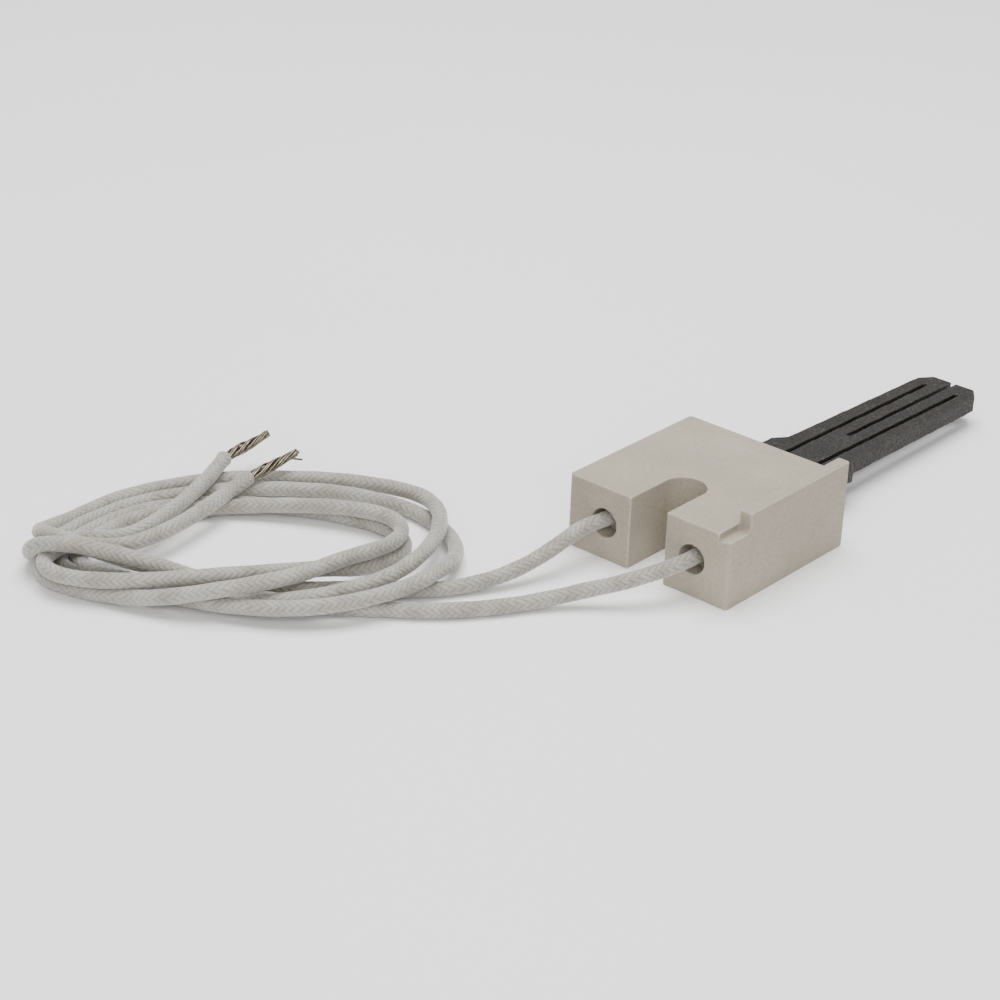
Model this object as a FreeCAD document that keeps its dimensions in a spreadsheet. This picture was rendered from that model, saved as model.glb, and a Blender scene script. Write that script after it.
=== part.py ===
import FreeCAD, Part
import math
import os

import Sketcher
from FreeCAD import Placement, Rotation, Vector

# Hot surface ignition electrode: a pressed ceramic block holds the cemented root of a slotted
# silicon carbide element, and two braided leads leave the block's front face and lie in one coil.
# Frame: origin on the block's seat, on the axis of the half-round end of the screw notch.
# +X towards the ribbed side, +Y along the element, +Z up. Millimetres.

doc = FreeCAD.newDocument("ignition_electrode")

# ---------------------------------------------------------------- driving dimensions

SHEET_ROWS = [
    ("block_width", 33.0),
    ("block_depth", 32.4),
    ("block_height", 13.0),
    ("block_edge", 0.35),
    ("notch_radius", 3.68),
    ("notch_centre", 9.4),
    ("rib_width", 2.4),
    ("rib_height", 2.45),
    ("rib_start", 5.25),
    ("corner_drop", 0.75),
    ("corner_depth", 1.4),
    ("corner_cove", 0.7),
    ("bore_spacing", 18.0),
    ("bore_radius", 2.55),
    ("bore_level", 6.47),
    ("bore_recess", 3.4),
    ("pocket_width", 19.6),
    ("pocket_height", 5.0),
    ("pocket_depth", 15.9),
    ("element_root_y", 10.1),
    ("element_level", 6.26),
    ("element_tilt", 1.5),
    ("element_length", 72.1),
    ("root_width", 17.4),
    ("root_length", 26.6),
    ("shoulder_length", 2.4),
    ("blade_width", 13.8),
    ("tip_width", 12.5),
    ("tip_cut", 1.9),
    ("root_thick", 2.5),
    ("tip_thick", 3.0),
    ("slot_width", 0.9),
    ("slot_offset", 3.35),
    ("slot_end", 4.3),
    ("middle_slot_length", 34.6),
    ("coating_thick", 0.15),
    ("coating_length", 6.0),
    ("clip_strip", 0.4),
    ("clip_width", 3.4),
    ("clip_length", 4.6),
    ("terminal_x", 8.1),
    ("barrel_radius", 1.1),
    ("barrel_length", 4.2),
    ("conductor_radius", 0.7),
    ("lead_root_y", 2.1),
    ("conductor_length", 7.2),
    ("conductor_level", 6.4),
    ("lead_diameter", 2.6),
    ("coil_azimuth", 40.5),
    ("coil_x", -51.9),
    ("coil_y", -49.05),
    ("coil_long", 36.0),
    ("coil_short", 27.0),
    ("eye_shift_u", 6.2),
    ("eye_shift_v", -1.0),
    ("eye_long", 17.0),
    ("eye_short", 9.5),
    ("coil_height", 8.0),
    ("coil_back_height", 2.85),
    ("coil_slope_start", -13.0),
    ("coil_slope_end", 7.0),
]

sheet = doc.addObject("Spreadsheet::Sheet", "Sizes")
for row, (alias, value) in enumerate(SHEET_ROWS, start=1):
    sheet.set(f"A{row}", alias)
    sheet.set(f"B{row}", str(value))
    sheet.setAlias(f"B{row}", alias)
doc.recompute()


class Size:
    """A length from the sheet, or worked out from lengths in it: its value and its expression."""

    def __init__(self, value, text):
        self.value = value
        self.text = text

    def join(self, other, sign, value):
        text = other.text if isinstance(other, Size) else str(other)
        return Size(value, f"({self.text} {sign} {text})")

    def __add__(self, other):
        return self.join(other, "+", self.value + plain(other))

    def __sub__(self, other):
        return self.join(other, "-", self.value - plain(other))

    def __mul__(self, other):
        return self.join(other, "*", self.value * plain(other))

    def __truediv__(self, other):
        return self.join(other, "/", self.value / plain(other))

    def __neg__(self):
        return Size(-self.value, f"(0 - {self.text})")


def plain(length):
    return length.value if isinstance(length, Size) else length


def size(alias):
    return Size(float(sheet.get(alias)), f"Sizes.{alias}")


def bind(thing, prop, length):
    """Ties a property to the sheet, or sets it where the length is a plain number."""
    if isinstance(length, Size):
        thing.setExpression(prop, length.text)
    else:
        thing.setExpression(prop, str(length))


# ---------------------------------------------------------------- sketches and features

def new_body(label):
    body = doc.addObject("PartDesign::Body", label)
    body.Label = label
    return body


def new_sketch(body, name, role, lift=0):
    """A sketch on one of the body's own planes, lifted off it along the plane's normal."""
    plane = next(f for f in body.Origin.OriginFeatures if f.Role == role)
    sketch = body.newObject("Sketcher::SketchObject", name)
    sketch.AttachmentSupport = [(plane, "")]
    sketch.MapMode = "FlatFace"
    if plain(lift) != 0:
        bind(sketch, "AttachmentOffset.Base.z", lift)
    return sketch


def pin_point(sketch, geometry, end, x, y):
    """Fixes one end of a line or arc, or a circle's centre, at x, y from the sketch's origin."""
    for kind, length in (("DistanceX", x), ("DistanceY", y)):
        index = sketch.addConstraint(Sketcher.Constraint(kind, -1, 1, geometry, end, plain(length)))
        if isinstance(length, Size):
            sketch.setExpression(f"Constraints[{index}]", length.text)


def outline(sketch, points):
    """A closed outline of straight sides through the points."""
    places = [Vector(plain(x), plain(y), 0) for x, y in points]
    lines = []
    for start, end in zip(places, places[1:] + places[:1]):
        lines.append(sketch.addGeometry(Part.LineSegment(start, end), False))
    for line, following in zip(lines, lines[1:] + lines[:1]):
        sketch.addConstraint(Sketcher.Constraint("Coincident", line, 2, following, 1))
    for line, (x, y) in zip(lines, points):
        pin_point(sketch, line, 1, x, y)


def rectangle(sketch, left, bottom, right, top):
    outline(sketch, [(left, bottom), (right, bottom), (right, top), (left, top)])


def circle(sketch, x, y, radius):
    place = Vector(plain(x), plain(y), 0)
    ring = sketch.addGeometry(Part.Circle(place, Vector(0, 0, 1), plain(radius)), False)
    pin_point(sketch, ring, 3, x, y)
    index = sketch.addConstraint(Sketcher.Constraint("Radius", ring, plain(radius)))
    if isinstance(radius, Size):
        sketch.setExpression(f"Constraints[{index}]", radius.text)


def pad(body, sketch, name, length, both_ways=False):
    feature = body.newObject("PartDesign::Pad", name)
    feature.Profile = sketch
    bind(feature, "Length", length)
    feature.Midplane = both_ways
    doc.recompute()
    return feature


def pocket(body, sketch, name, length=None, both_ways=False, reverse=False):
    """Cuts the sketch into the body, right through where no length is given, and checks that it cut."""
    before = body.Shape.Volume
    feature = body.newObject("PartDesign::Pocket", name)
    feature.Profile = sketch
    if length is None:
        feature.Type = "ThroughAll"
    else:
        bind(feature, "Length", length)
    feature.Midplane = both_ways
    feature.Reversed = reverse
    doc.recompute()
    if not body.Shape.Volume < before - 1e-3:
        raise RuntimeError(f"{body.Label}: {name} cut nothing")
    return feature


def edges_where(shape, wanted):
    return [f"Edge{i}" for i, edge in enumerate(shape.Edges, start=1) if wanted(edge)]


SIDES = (("left", -1), ("right", 1))

# ---------------------------------------------------------------- ceramic block

front = -size("notch_centre")
back = size("block_depth") - size("notch_centre")
half_width = size("block_width") / 2
notch = size("notch_radius")
bore_x = size("bore_spacing") / 2
bore_z = size("bore_level")
pocket_front = back - size("pocket_depth")


def make_block():
    """Pressed block: U-shaped screw notch, raised locating rib, lead bores and element pocket."""
    body = new_body("ceramic_block")
    plan = new_sketch(body, "block_plan", "XY_Plane")
    rectangle(plan, -half_width, front, half_width, back)
    pad(body, plan, "block_pad", size("block_height"))

    slot = new_sketch(body, "notch_plan", "XY_Plane")
    rectangle(slot, -notch, front - 1, notch, 0)
    pocket(body, slot, "notch_cut", size("block_height"), reverse=True)
    slot_end = new_sketch(body, "notch_end_plan", "XY_Plane")
    circle(slot_end, 0, 0, notch)
    pocket(body, slot_end, "notch_end_cut", size("block_height"), reverse=True)

    rib = new_sketch(body, "rib_plan", "XY_Plane")
    rectangle(rib, half_width - size("rib_width"), front + size("rib_start"), half_width, back)
    pad(body, rib, "rib_pad", size("block_height") + size("rib_height"))

    corner = new_sketch(body, "corner_profile", "XZ_Plane", -front)
    inner = half_width - size("rib_width")
    outer = half_width + size("rib_width")
    outline(
        corner,
        [
            (inner, size("block_height") + 1),
            (inner, size("block_height") - size("corner_depth")),
            (outer, size("block_height") + size("corner_depth") - size("corner_drop") * 2),
            (outer, size("block_height") + 1),
        ],
    )
    pocket(body, corner, "corner_cut", size("rib_start"))

    mouth = new_sketch(body, "pocket_profile", "XZ_Plane", -back)
    half_mouth = size("pocket_width") / 2
    half_tall = size("pocket_height") / 2
    rectangle(mouth, -half_mouth, bore_z - half_tall, half_mouth, bore_z + half_tall)
    pocket(body, mouth, "element_pocket", size("pocket_depth"), reverse=True)

    bores = new_sketch(body, "bore_profile", "XZ_Plane", -front)
    for _, sign in SIDES:
        circle(bores, bore_x * sign, bore_z, size("bore_radius"))
    pocket(body, bores, "lead_bores", size("block_depth") - size("pocket_depth"))

    top = size("block_height").value
    rib_end = (front + size("rib_start")).value
    recess_low = top - size("corner_depth").value
    recess_high = top - size("corner_drop").value

    def foot_of_rib(edge):
        ends = [v.Point for v in edge.Vertexes]
        if len(ends) != 2 or abs(ends[0].x - ends[1].x) < 1:
            return False
        in_recess = all(recess_low - 0.01 < end.z < recess_high + 0.01 for end in ends)
        return in_recess and all(abs(end.y - rib_end) < 0.01 for end in ends)

    plain_block = body.Tip
    feet = edges_where(plain_block.Shape, foot_of_rib)
    cove = body.newObject("PartDesign::Fillet", "corner_cove")
    cove.Base = (plain_block, feet)
    bind(cove, "Radius", size("corner_cove"))
    doc.recompute()
    if not body.Shape.Volume > plain_block.Shape.Volume:
        raise RuntimeError("the foot of the rib was not rounded")

    def outer_upright(edge):
        ends = [v.Point for v in edge.Vertexes]
        upright = len(ends) == 2 and abs(ends[0].z - ends[1].z) > top * 0.8
        return upright and abs(ends[0].x) > half_width.value - 0.01

    whole = body.Tip
    uprights = edges_where(whole.Shape, outer_upright)
    breaks = body.newObject("PartDesign::Chamfer", "corner_breaks")
    breaks.Base = (whole, uprights)
    bind(breaks, "Size", size("block_edge"))
    doc.recompute()
    if not body.Shape.Volume < whole.Shape.Volume:
        raise RuntimeError("the block's corners were not broken")
    return body


# ---------------------------------------------------------------- silicon carbide element

def on_element(thing):
    """Places a piece that is drawn in the element's own frame: root end at y 0, centre plane at z 0."""
    thing.Placement = Placement(Vector(0, 0, 0), Rotation(Vector(1, 0, 0), -size("element_tilt").value))
    bind(thing, "Placement.Base.y", size("element_root_y"))
    bind(thing, "Placement.Base.z", size("element_level"))
    thing.setExpression("Placement.Rotation.Angle", "0 - Sizes.element_tilt")
    thing.Placement.Rotation.Axis = Vector(1, 0, 0)


def make_element():
    """Slotted plate: two long slots from the root and one from the tip leave a folded current path."""
    body = new_body("heating_element")
    length = size("element_length")
    side = new_sketch(body, "side_profile", "YZ_Plane")
    half_root = size("root_thick") / 2
    half_tip = size("tip_thick") / 2
    outline(side, [(0, -half_root), (length, -half_tip), (length, half_tip), (0, half_root)])
    pad(body, side, "plate", size("root_width"), both_ways=True)

    shoulder = size("root_length")
    blade_start = shoulder + size("shoulder_length")
    thick = size("tip_thick") * 2
    sides = new_sketch(body, "side_cuts", "XY_Plane")
    for _, sign in SIDES:
        root_x = size("root_width") / 2 * sign
        blade_x = size("blade_width") / 2 * sign
        tip_x = size("tip_width") / 2 * sign
        clear_x = (size("root_width") / 2 + 1) * sign
        outline(
            sides,
            [
                (clear_x, shoulder),
                (root_x, shoulder),
                (blade_x, blade_start),
                (tip_x, length - size("tip_cut") * 1.4),
                (tip_x - size("tip_cut") * sign, length),
                (tip_x - size("tip_cut") * sign, length + 1),
                (clear_x, length + 1),
            ],
        )
    pocket(body, sides, "ground_sides", thick, both_ways=True)

    slots = new_sketch(body, "slot_cuts", "XY_Plane")
    half_slot = size("slot_width") / 2
    for _, sign in SIDES:
        middle = size("slot_offset") * sign
        rectangle(slots, middle - half_slot, -1, middle + half_slot, length - size("slot_end"))
    rectangle(slots, -half_slot, length - size("middle_slot_length"), half_slot, length + 1)
    pocket(body, slots, "sawn_slots", thick, both_ways=True)
    on_element(body)
    return body


# ---------------------------------------------------------------- contacts inside the block

leg_x = size("slot_offset") + size("slot_width") / 2
root_half = size("root_thick") / 2


def make_coating(side, sign):
    """Sprayed metal contact on both faces of one outer leg's root."""
    body = new_body(f"{side}_contact_coating")
    faces = new_sketch(body, "coating_profile", "XZ_Plane")
    for level in (root_half, -root_half - size("coating_thick")):
        rectangle(
            faces,
            (leg_x + 0.2) * sign,
            level,
            (size("root_width") / 2 - 0.2) * sign,
            level + size("coating_thick"),
        )
    feature = pad(body, faces, "coating", size("coating_length"))
    feature.Reversed = True
    doc.recompute()
    on_element(body)
    return body


def make_clip(side, sign):
    """Folded strip that grips one coated leg, with the barrel crimped on the conductor."""
    body = new_body(f"{side}_terminal_clip")
    inner = root_half + size("coating_thick")
    outer = inner + size("clip_strip")
    fold = new_sketch(body, "clip_fold", "YZ_Plane", size("terminal_x") * sign - 1.9 * sign)
    outline(
        fold,
        [
            (-size("clip_strip"), -outer),
            (size("clip_length"), -outer),
            (size("clip_length"), -inner),
            (0, -inner),
            (0, inner),
            (size("clip_length"), inner),
            (size("clip_length"), outer),
            (-size("clip_strip"), outer),
        ],
    )
    pad(body, fold, "strip", size("clip_width"), both_ways=True)
    barrel = new_sketch(body, "barrel_profile", "XZ_Plane")
    circle(barrel, size("terminal_x") * sign, 0, size("barrel_radius"))
    pad(body, barrel, "barrel", size("barrel_length"))
    hole = new_sketch(body, "barrel_hole", "XZ_Plane", size("barrel_length") + 0.1)
    circle(hole, size("terminal_x") * sign, 0, size("conductor_radius"))
    pocket(body, hole, "conductor_hole", size("barrel_length") - 0.4)
    on_element(body)
    return body


def make_root_conductor(side, sign):
    """Bare strands that run from the crimped barrel back to the end of the braid."""
    rod = doc.addObject("Part::Cylinder", f"{side}_root_conductor")
    bind(rod, "Radius", size("conductor_radius"))
    bind(rod, "Height", size("conductor_length"))
    bind(rod, "Placement.Base.x", size("terminal_x") * sign)
    bind(rod, "Placement.Base.y", size("lead_root_y"))
    bind(rod, "Placement.Base.z", size("conductor_level"))
    rod.Placement.Rotation = Rotation(Vector(1, 0, 0), -90)
    return rod


# ---------------------------------------------------------------- leads

LEAD_ROUTES = {
    "left": [
        (-8.1, 2.1, 6.40),
        (-9.0, -3.6, 6.45),
        (-10.1, -9.2, 6.45),
        (-11.0, -13.0, 6.10),
        (-11.2, -17.4, 5.10),
        (-11.8, -21.2, 4.00),
        (-12.8, -25.2, 2.90),
        (-14.4, -29.4, 2.00),
        (-16.4, -33.4, 1.45),
        (-18.4, -37.0, 1.35),
        (-20.5, -39.9, 1.35),
    ],
    "right": [
        (8.1, 2.1, 6.40),
        (8.7, -3.6, 6.50),
        (8.9, -9.0, 6.50),
        (8.2, -12.6, 6.25),
        (6.2, -16.4, 5.40),
        (3.2, -20.2, 4.10),
        (-0.2, -23.6, 3.00),
        (-3.4, -27.4, 1.90),
        (-6.2, -31.8, 1.40),
        (-9.6, -37.4, 1.35),
        (-14.2, -43.2, 1.35),
        (-19.4, -47.8, 1.35),
    ],
}
TAIL_ROUTES = {
    "left": [
        (-66.2, -68.3, 4.2),
        (-63.8, -64.8, 4.2),
        (-63.7, -59.8, 4.2),
        (-64.9, -54.5, 4.2),
        (-67.1, -47.7, 4.2),
        (-69.3, -42.0, 4.2),
        (-71.7, -37.2, 4.2),
        (-73.7, -33.5, 4.2),
    ],
    "right": [
        (-63.6, -69.3, 4.2),
        (-61.1, -66.2, 4.2),
        (-60.5, -61.5, 4.2),
        (-60.7, -56.0, 4.2),
        (-61.9, -49.2, 4.2),
        (-63.7, -41.9, 4.2),
        (-65.3, -35.9, 4.2),
    ],
}
BARE_TIPS = {"left": (-73.3, -23.3, 5.8), "right": (-64.4, -24.9, 5.8)}
ARC_SHARE = 0.45


def rounded_path(label, points):
    """Straight runs joined by tangent arcs, each as large as its two runs allow."""
    corners = [Vector(*p) for p in points]
    edges = []
    radii = []
    start = corners[0]
    for before, corner, after in zip(corners, corners[1:], corners[2:]):
        back_dir = (before - corner).normalize()
        out_dir = (after - corner).normalize()
        reach = ARC_SHARE * min(before.distanceToPoint(corner), after.distanceToPoint(corner))
        half_turn = (math.pi - back_dir.getAngle(out_dir)) / 2
        radius = reach / math.tan(half_turn)
        bisector = (back_dir + out_dir).normalize()
        centre = corner + bisector * (radius / math.cos(half_turn))
        arc_start = corner + back_dir * reach
        arc_end = corner + out_dir * reach
        arc_middle = centre - bisector * radius
        edges.append(Part.LineSegment(start, arc_start).toShape())
        edges.append(Part.Arc(arc_start, arc_middle, arc_end).toShape())
        radii.append(radius)
        start = arc_end
    edges.append(Part.LineSegment(start, corners[-1]).toShape())
    print(label, "arc radii", ", ".join(f"{r:.1f}" for r in radii))
    return Part.Wire(edges)


def swept_tube(label, points):
    """A round tube along the path, its volume compared with its section times its length."""
    path = rounded_path(label, points)
    radius = size("lead_diameter").value / 2
    heading = path.Edges[0].tangentAt(path.Edges[0].FirstParameter)
    ring = Part.Wire(Part.Circle(Vector(*points[0]), heading, radius).toShape())
    tube = path.makePipeShell([ring], True, True)
    expected = math.pi * radius**2 * path.Length
    print(label, "length", round(path.Length, 1), "volume / expected", round(tube.Volume / expected, 4))
    if abs(tube.Volume / expected - 1) > 0.01:
        raise RuntimeError(f"{label}: the tube's volume is wrong")
    return tube


def shape_feature(label, shape):
    feature = doc.addObject("Part::Feature", label)
    feature.Label = label
    feature.Shape = shape
    return feature


def make_coil():
    """Outer shape of the coil that both leads lie in: an oval ring, lower at the back than in front."""
    body = new_body("lead_coil")
    plan = new_sketch(body, "coil_plan", "XY_Plane")
    for long, short, shift_u, shift_v in (
        (size("coil_long"), size("coil_short"), 0, 0),
        (size("eye_long"), size("eye_short"), size("eye_shift_u"), size("eye_shift_v")),
    ):
        u, v = plain(shift_u), plain(shift_v)
        middle = Vector(u, v, 0)
        oval = Part.Ellipse(middle + Vector(plain(long), 0, 0), middle + Vector(0, plain(short), 0), middle)
        index = plan.addGeometry(oval, False)
        plan.exposeInternalGeometry(index)
        major, minor = index + 1, index + 2
        pin_point(plan, index, 3, shift_u, shift_v)
        plan.addConstraint(Sketcher.Constraint("Horizontal", major))
        for axis, half in ((major, long), (minor, short)):
            place = plan.addConstraint(Sketcher.Constraint("Distance", axis, plain(half) * 2))
            plan.setExpression(f"Constraints[{place}]", (half * 2).text)
    pad(body, plan, "ring", size("coil_height"))
    slope = new_sketch(body, "top_slope", "YZ_Plane")
    outline(
        slope,
        [
            (size("coil_slope_start"), size("coil_height")),
            (size("coil_slope_end"), size("coil_back_height")),
            (size("coil_short") + 1, size("coil_back_height")),
            (size("coil_short") + 1, size("coil_height") + 1),
            (size("coil_slope_start"), size("coil_height") + 1),
        ],
    )
    pocket(body, slope, "sloped_top", size("coil_long") * 3, both_ways=True)
    body.Placement = Placement(Vector(0, 0, 0), Rotation(Vector(0, 0, 1), size("coil_azimuth").value))
    bind(body, "Placement.Base.x", size("coil_x"))
    bind(body, "Placement.Base.y", size("coil_y"))
    doc.recompute()
    return body


def make_bare_end(side):
    """Stripped strands beyond the braid's cut end."""
    start = Vector(*TAIL_ROUTES[side][-1])
    run = Vector(*BARE_TIPS[side]) - start
    rod = doc.addObject("Part::Cylinder", f"{side}_bare_end")
    bind(rod, "Radius", size("conductor_radius"))
    rod.Height = run.Length
    rod.Placement = Placement(start, Rotation(Vector(0, 0, 1), run))
    return rod


# ---------------------------------------------------------------- cement

def make_pocket_cement(inside):
    """Refractory cement that fills the pocket round the element's root and its contacts."""
    fill = doc.addObject("Part::Box", "pocket_fill")
    bind(fill, "Length", size("pocket_width"))
    bind(fill, "Width", size("pocket_depth"))
    bind(fill, "Height", size("pocket_height"))
    bind(fill, "Placement.Base.x", -size("pocket_width") / 2)
    bind(fill, "Placement.Base.y", pocket_front)
    bind(fill, "Placement.Base.z", bore_z - size("pocket_height") / 2)
    tools = doc.addObject("Part::MultiFuse", "pocket_contents")
    tools.Shapes = inside
    cement = doc.addObject("Part::Cut", "pocket_cement")
    cement.Base = fill
    cement.Tool = tools
    return cement


def make_bore_cement(side, sign, inside):
    """Cement plug in one lead bore, set back from the block's front face."""
    fill = doc.addObject("Part::Cylinder", f"{side}_bore_fill")
    bind(fill, "Radius", size("bore_radius"))
    bind(fill, "Height", size("block_depth") - size("pocket_depth") - size("bore_recess"))
    bind(fill, "Placement.Base.x", bore_x * sign)
    bind(fill, "Placement.Base.y", front + size("bore_recess"))
    bind(fill, "Placement.Base.z", bore_z)
    fill.Placement.Rotation = Rotation(Vector(1, 0, 0), -90)
    tools = doc.addObject("Part::MultiFuse", f"{side}_bore_contents")
    tools.Shapes = inside
    cement = doc.addObject("Part::Cut", f"{side}_bore_cement")
    cement.Base = fill
    cement.Tool = tools
    return cement


# ---------------------------------------------------------------- assembly

block = make_block()
element = make_element()
coatings = [make_coating(side, sign) for side, sign in SIDES]
clips = [make_clip(side, sign) for side, sign in SIDES]
conductors = [make_root_conductor(side, sign) for side, sign in SIDES]
coil = make_coil()
leads = []
tails = []
bare_ends = []
for side, _ in SIDES:
    exit_tube = swept_tube(f"{side}_lead", LEAD_ROUTES[side])
    leads.append(shape_feature(f"{side}_lead", exit_tube.cut(coil.Shape)))
    tail_tube = swept_tube(f"{side}_lead_tail", TAIL_ROUTES[side])
    tails.append(shape_feature(f"{side}_lead_tail", tail_tube.cut(coil.Shape)))
    bare_ends.append(make_bare_end(side))
pocket_cement = make_pocket_cement([element] + coatings + clips + conductors)
bore_cements = [
    make_bore_cement(side, sign, [lead, conductor, clip])
    for (side, sign), lead, conductor, clip in zip(SIDES, leads, conductors, clips)
]
doc.recompute()

nodes = [block, element, pocket_cement, coil]
nodes += coatings + clips + conductors + bore_cements + leads + tails + bare_ends
for thing in doc.Objects:
    if {"Invalid", "Error"} & set(thing.State):
        raise RuntimeError(f"{thing.Label} failed: {thing.State}")
for node in nodes:
    if node.Shape.isNull() or not node.Shape.isValid() or not node.Shape.Solids:
        raise RuntimeError(f"{node.Label} has no valid shape")
os.makedirs("parts", exist_ok=True)
for node in nodes:
    node.Shape.exportStep(f"parts/{node.Label}.step")
    print(node.Label, len(node.Shape.Solids), "solid(s),", round(node.Shape.Volume, 2), "mm3")
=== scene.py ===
# Hot surface ignition electrode: pressed ceramic block, slotted silicon carbide element and two
# braided leads lying in a loose coil. Metres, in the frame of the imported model: origin on the
# block's seat at the screw notch, +X towards the rib, +Y along the element, +Z up. Each section
# gives its sizes in millimetres, and MM turns them to metres.
import math

import bmesh
import bpy
from mathutils import Matrix, Vector, noise


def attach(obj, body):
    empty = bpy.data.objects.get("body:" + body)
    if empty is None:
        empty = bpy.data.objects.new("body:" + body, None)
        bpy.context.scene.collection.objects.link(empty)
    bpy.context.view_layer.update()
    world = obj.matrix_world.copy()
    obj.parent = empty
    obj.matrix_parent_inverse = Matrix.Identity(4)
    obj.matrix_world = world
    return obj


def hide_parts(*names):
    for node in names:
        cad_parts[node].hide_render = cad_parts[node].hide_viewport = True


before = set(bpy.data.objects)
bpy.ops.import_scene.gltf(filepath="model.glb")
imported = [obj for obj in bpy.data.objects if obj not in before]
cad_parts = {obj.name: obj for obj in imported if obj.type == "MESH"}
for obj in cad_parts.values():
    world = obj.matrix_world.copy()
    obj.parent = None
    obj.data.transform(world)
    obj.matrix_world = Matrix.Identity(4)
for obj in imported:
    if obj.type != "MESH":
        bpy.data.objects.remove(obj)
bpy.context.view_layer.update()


# ------------------------------------------------------------------ ceramic block
# Steatite block, dry-pressed and fired without a glaze: buff grey, matt, with a sandy grain, fine
# dark specks and edges that have lost their sharpness and look paler where they are rubbed.
MM = 0.001
BLOCK_VOXEL = 0.22
BLOCK_PIT_DEPTH = 0.03
BLOCK_PIT_WIDTH = 0.9
BLOCK_TONE_WIDTH = 11.0
BLOCK_SPECK_SPACING = 0.77
EDGE_SOFTENING = 0.5
PIT_DETAIL = 3

# The pressed powder's grain is about 0.1 mm wide; it is drawn coarser so that it shows.
BLOCK_GRAIN_WIDTH = 0.38


def new_piece(name, mesh, *materials):
    """A smooth-shaded object from a mesh and its materials."""
    piece = bpy.data.objects.new(name, mesh)
    bpy.context.scene.collection.objects.link(piece)
    for material in materials:
        mesh.materials.append(material)
    for face in mesh.polygons:
        face.use_smooth = True
    return piece


def worn_copy(node, name, voxel, pit_depth, pit_width):
    """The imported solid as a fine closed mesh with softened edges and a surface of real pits."""
    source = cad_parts[node]
    mesh = source.data.copy()
    mesh.name = name
    mesh.materials.clear()
    piece = bpy.data.objects.new(name, mesh)
    piece.matrix_world = source.matrix_world.copy()
    bpy.context.scene.collection.objects.link(piece)
    remesh = piece.modifiers.new("fine_skin", "REMESH")
    remesh.mode = "VOXEL"
    remesh.voxel_size = voxel * MM
    softened = piece.modifiers.new("softened_edges", "SMOOTH")
    softened.factor = EDGE_SOFTENING
    softened.iterations = 1
    bpy.context.view_layer.update()
    fine = bpy.data.meshes.new_from_object(piece.evaluated_get(bpy.context.evaluated_depsgraph_get()))
    bpy.data.objects.remove(piece)
    fine.name = name
    normals = [v.normal.copy() for v in fine.vertices]
    for vertex, normal in zip(fine.vertices, normals):
        rough = noise.fractal(vertex.co / (pit_width * MM), 1.0, 2.0, PIT_DETAIL)
        vertex.co += normal * (min(rough, 0.0) * pit_depth) * MM
    return fine


def linear(hex_colour):
    """An sRGB hex colour as linear values with alpha."""
    channels = [int(hex_colour[i : i + 2], 16) / 255 for i in (1, 3, 5)]
    return [c / 12.92 if c <= 0.04045 else ((c + 0.055) / 1.055) ** 2.4 for c in channels] + [1.0]


def add_node(material, kind, settings=None, links=None):
    """Adds one node. Settings are by attribute or socket, or are the colour stops of a ramp as
    (place, hex); links are socket -> (node, output)."""
    tree = material.node_tree
    node = tree.nodes.new(kind)
    for name, value in (settings or {}).items():
        if name == "stops":
            elements = node.color_ramp.elements
            while len(elements) < len(value):
                elements.new(0.5)
            for element, (place, colour) in zip(elements, value):
                element.position = place
                element.color = linear(colour)
        elif isinstance(name, str) and hasattr(node, name):
            setattr(node, name, value)
        else:
            node.inputs[name].default_value = value
    for name, (source, output) in (links or {}).items():
        tree.links.new(source.outputs[output], node.inputs[name])
    return node


def per_metre(width):
    """Pattern scale for features about this many millimetres wide."""
    return 1 / (width * MM)


def new_material(name):
    """An empty node material."""
    material = bpy.data.materials.new(name)
    material.use_nodes = True
    material.node_tree.nodes.clear()
    return material


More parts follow.
